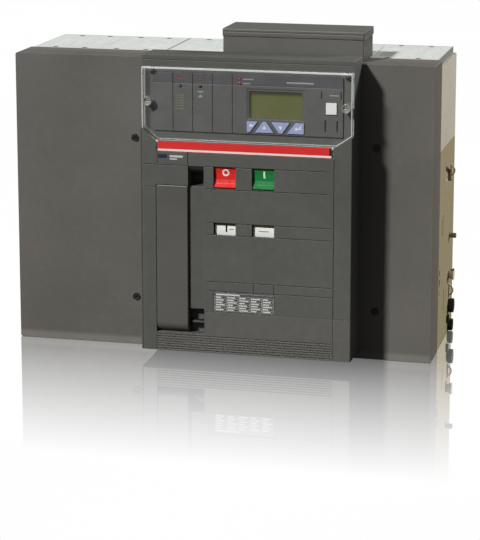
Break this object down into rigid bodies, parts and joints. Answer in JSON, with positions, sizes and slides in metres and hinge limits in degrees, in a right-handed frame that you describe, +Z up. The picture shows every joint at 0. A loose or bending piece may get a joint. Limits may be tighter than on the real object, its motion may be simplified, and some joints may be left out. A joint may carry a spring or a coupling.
{
  "type": "air circuit breaker",
  "caption": "Fixed low-voltage air circuit breaker with a hand-charging lever, push buttons, flag windows, trip unit under a clear cover, and rear busbar terminals.",
  "frame": {"origin": "under the middle of the bounding box, on the surface the breaker stands on", "axes": "+X to the right as seen from the front, +Y to the rear (terminals), +Z up"},
  "size_m": [0.566, 0.302, 0.418],
  "materials": {
    "grey_plastic": "finely textured grey housing plastic",
    "dark_plastic": "darker textured plastic of the front cover",
    "unit_plastic": "neutral dark grey, fine grain",
    "beige_plastic": "beige-grey moulded insulation",
    "chute_plastic": "pale grey fibre-filled plastic",
    "black_plastic": "black, smooth",
    "red_plastic": "red, smooth",
    "green_plastic": "green, smooth",
    "blue_plastic": "dark blue, smooth",
    "key_plastic": "lavender-blue membrane",
    "white_plastic": "white, smooth",
    "clear_plastic": "clear moulded polycarbonate",
    "display": "olive liquid crystal window",
    "zinc_steel": "yellow-zinc plated sheet",
    "bright_steel": "bright steel",
    "spring_steel": "oiled spring steel",
    "copper": "tinned copper bar",
    "moulded_copper": "copper contact fingers",
    "silver_plate": "satin plate",
    "strip_red": "red strip, satin"
  },
  "bodies": {
    "breaker": {"front_shield": "grey_plastic", "shield_screws": "bright_steel", "side_plate_left": "zinc_steel", "side_plate_right": "zinc_steel", "base_plate": "zinc_steel", "side_panel_left": "beige_plastic", "side_panel_right": "beige_plastic", "side_loops": "bright_steel", "side_studs": "black_plastic", "front_cover": "dark_plastic", "lower_panel": "dark_plastic", "name_strip": "strip_red", "rating_plate": "silver_plate", "trip_unit_body": "unit_plastic", "trip_unit_face": "unit_plastic", "lcd_screen": "display", "pole_housing_1": "grey_plastic", "pole_housing_2": "grey_plastic", "pole_housing_3": "grey_plastic", "arc_chute_1": "chute_plastic", "arc_chute_2": "chute_plastic", "arc_chute_3": "chute_plastic", "arc_splitter_plates": "bright_steel", "arc_chute_screws": "spring_steel", "upper_terminals": "copper", "lower_terminals": "copper", "contact_pivot_pins": "bright_steel", "current_sensors": "black_plastic", "mechanism_frame": "zinc_steel", "trip_actuator": "black_plastic", "terminal_box": "grey_plastic", "terminal_box_lid": "grey_plastic", "terminal_blocks": "white_plastic"},
    "lever": {"charging_lever": "dark_plastic", "lever_shaft": "bright_steel"},
    "pawl": {"drive_pawl": "bright_steel"},
    "off": {"off_button": "red_plastic"},
    "on": {"on_button": "green_plastic"},
    "reset": {"reset_button": "blue_plastic"},
    "position": {"position_flag": "white_plastic"},
    "charge": {"charge_flag": "white_plastic"},
    "back_key": {"key_back": "key_plastic"},
    "up_key": {"key_up": "key_plastic"},
    "down_key": {"key_down": "key_plastic"},
    "enter_key": {"key_enter": "key_plastic"},
    "test": {"test_button": "white_plastic"},
    "cover": {"clear_cover": "clear_plastic"},
    "screw_left": {"cover_screw_left": "bright_steel"},
    "screw_right": {"cover_screw_right": "bright_steel"},
    "shaft": {"main_shaft": "bright_steel"},
    "link_1": {"contact_link_1": "bright_steel"},
    "link_2": {"contact_link_2": "bright_steel"},
    "link_3": {"contact_link_3": "bright_steel"},
    "contact_1": {"moving_contact_1": "moulded_copper"},
    "contact_2": {"moving_contact_2": "moulded_copper"},
    "contact_3": {"moving_contact_3": "moulded_copper"},
    "cam": {"camshaft": "bright_steel", "ratchet_wheel": "spring_steel"},
    "crosshead": {"spring_crosshead": "bright_steel", "closing_springs": "spring_steel"}
  },
  "joints": [
    {"name": "lever_pull", "type": "hinge", "parent": "breaker", "child": "lever", "pos_m": [-0.048, -0.139, 0.0485], "axis": [1, 0, 0], "range_deg": [0, 85], "stiffness_Nm_per_rad": 0.3, "springref_deg": -34.38},
    {"name": "pawl_drive", "type": "hinge", "parent": "lever", "child": "pawl", "pos_m": [-0.0455, -0.122, 0.041], "axis": [1, 0, 0], "range_deg": [-85, 0]},
    {"name": "off_press", "type": "slide", "parent": "breaker", "child": "off", "axis": [0, 1, 0], "range_m": [0, 0.004], "stiffness_N_per_m": 400, "springref_m": -0.002},
    {"name": "on_press", "type": "slide", "parent": "breaker", "child": "on", "axis": [0, 1, 0], "range_m": [0, 0.004], "stiffness_N_per_m": 400, "springref_m": -0.002},
    {"name": "reset_pop", "type": "slide", "parent": "breaker", "child": "reset", "axis": [0, -1, 0], "range_m": [0, 0.004]},
    {"name": "position_turn", "type": "hinge", "parent": "breaker", "child": "position", "pos_m": [0.0197, -0.111, 0.171], "axis": [1, 0, 0], "range_deg": [0, 22.5]},
    {"name": "charge_turn", "type": "hinge", "parent": "breaker", "child": "charge", "pos_m": [0.0695, -0.111, 0.171], "axis": [1, 0, 0], "range_deg": [0, 22.5]},
    {"name": "back_key_press", "type": "slide", "parent": "breaker", "child": "back_key", "axis": [0, 1, 0], "range_m": [0, 0.0008], "stiffness_N_per_m": 1500, "springref_m": -0.0003},
    {"name": "up_key_press", "type": "slide", "parent": "breaker", "child": "up_key", "axis": [0, 1, 0], "range_m": [0, 0.0008], "stiffness_N_per_m": 1500, "springref_m": -0.0003},
    {"name": "down_key_press", "type": "slide", "parent": "breaker", "child": "down_key", "axis": [0, 1, 0], "range_m": [0, 0.0008], "stiffness_N_per_m": 1500, "springref_m": -0.0003},
    {"name": "enter_key_press", "type": "slide", "parent": "breaker", "child": "enter_key", "axis": [0, 1, 0], "range_m": [0, 0.0008], "stiffness_N_per_m": 1500, "springref_m": -0.0003},
    {"name": "test_press", "type": "slide", "parent": "breaker", "child": "test", "axis": [0, 1, 0], "range_m": [0, 0.001], "stiffness_N_per_m": 1500, "springref_m": -0.0003},
    {"name": "cover_lift", "type": "hinge", "parent": "breaker", "child": "cover", "pos_m": [0.0475, -0.1455, 0.3735], "axis": [-1, 0, 0], "range_deg": [0, 90]},
    {"name": "cover_screw_left_turn", "type": "hinge", "parent": "cover", "child": "screw_left", "pos_m": [-0.0796, -0.148, 0.333], "axis": [0, 1, 0], "range_deg": [0, 90]},
    {"name": "cover_screw_right_turn", "type": "hinge", "parent": "cover", "child": "screw_right", "pos_m": [0.1738, -0.148, 0.333], "axis": [0, 1, 0], "range_deg": [0, 90]},
    {"name": "main_shaft_turn", "type": "hinge", "parent": "breaker", "child": "shaft", "pos_m": [0, -0.058, 0.118], "axis": [1, 0, 0], "range_deg": [0, 18]},
    {"name": "link_1_turn", "type": "hinge", "parent": "shaft", "child": "link_1", "pos_m": [-0.18, -0.064, 0.162], "axis": [1, 0, 0], "range_deg": [-18, 0]},
    {"name": "link_2_turn", "type": "hinge", "parent": "shaft", "child": "link_2", "pos_m": [0, -0.064, 0.162], "axis": [1, 0, 0], "range_deg": [-18, 0]},
    {"name": "link_3_turn", "type": "hinge", "parent": "shaft", "child": "link_3", "pos_m": [0.18, -0.064, 0.162], "axis": [1, 0, 0], "range_deg": [-18, 0]},
    {"name": "contact_1_turn", "type": "hinge", "parent": "breaker", "child": "contact_1", "pos_m": [-0.18, 0.062, 0.118], "axis": [1, 0, 0], "range_deg": [0, 18]},
    {"name": "contact_2_turn", "type": "hinge", "parent": "breaker", "child": "contact_2", "pos_m": [0, 0.062, 0.118], "axis": [1, 0, 0], "range_deg": [0, 18]},
    {"name": "contact_3_turn", "type": "hinge", "parent": "breaker", "child": "contact_3", "pos_m": [0.18, 0.062, 0.118], "axis": [1, 0, 0], "range_deg": [0, 18]},
    {"name": "cam_turn", "type": "hinge", "parent": "breaker", "child": "cam", "pos_m": [0.0475, -0.106, 0.084], "axis": [1, 0, 0], "range_deg": [0, 150]},
    {"name": "crosshead_lift", "type": "slide", "parent": "breaker", "child": "crosshead", "axis": [0, 0, 1], "range_m": [0, 0.025], "stiffness_N_per_m": 60, "springref_m": -0.01, "deforming": ["closing_springs"]}
  ],
  "couplings": [
    {"joint": "pawl_drive", "follows": "lever_pull", "ratio": -1},
    {"joint": "link_1_turn", "follows": "main_shaft_turn", "ratio": -1},
    {"joint": "link_2_turn", "follows": "main_shaft_turn", "ratio": -1},
    {"joint": "link_3_turn", "follows": "main_shaft_turn", "ratio": -1},
    {"joint": "contact_1_turn", "follows": "main_shaft_turn", "ratio": 1},
    {"joint": "contact_2_turn", "follows": "main_shaft_turn", "ratio": 1},
    {"joint": "contact_3_turn", "follows": "main_shaft_turn", "ratio": 1},
    {"joint": "position_turn", "follows": "main_shaft_turn", "ratio": 1.25},
    {"joint": "crosshead_lift", "follows": "cam_turn", "m_per_rad": 0.009549},
    {"joint": "charge_turn", "follows": "cam_turn", "ratio": 0.15}
  ]
}
